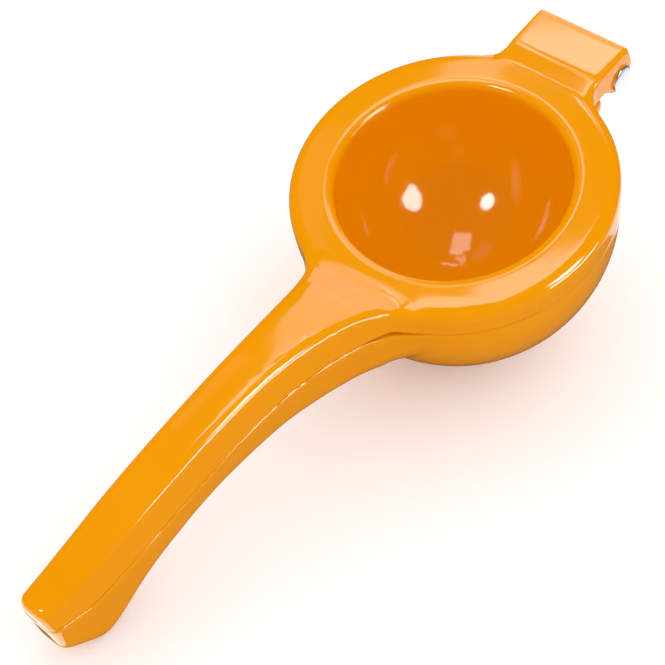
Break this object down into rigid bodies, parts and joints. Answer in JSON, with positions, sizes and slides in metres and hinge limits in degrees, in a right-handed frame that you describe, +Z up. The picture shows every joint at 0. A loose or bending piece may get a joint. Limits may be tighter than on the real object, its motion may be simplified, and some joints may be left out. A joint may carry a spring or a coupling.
{
  "type": "hinged lemon squeezer",
  "caption": "Hinged hand squeezer for lemon halves: a press cup on one arched handle folds into a drained bowl on the other; it stands on the bowl and the handle's heel.",
  "frame": {"origin": "on the table plane under the middle of the bowl, at the centre of the bowl's small flat", "axes": "+X towards the hinge, -X towards the tip of the handles, +Y along the rivet, +Z up; the plane y = 0 is the plane of symmetry; closed and standing on the table"},
  "size_m": [0.2155, 0.088, 0.071],
  "materials": {
    "enamel": "glossy orange enamel on cast aluminium",
    "steel": "bright, plain"
  },
  "bodies": {
    "bowl": {"bowl_arm": "enamel"},
    "press": {"press_arm": "enamel", "hinge_pin": "steel"}
  },
  "joints": [
    {"name": "hinge", "type": "hinge", "parent": "bowl", "child": "press", "pos_m": [0.05357, 0, 0.06208], "axis": [0, 1, 0], "range_deg": [0, 130]}
  ]
}
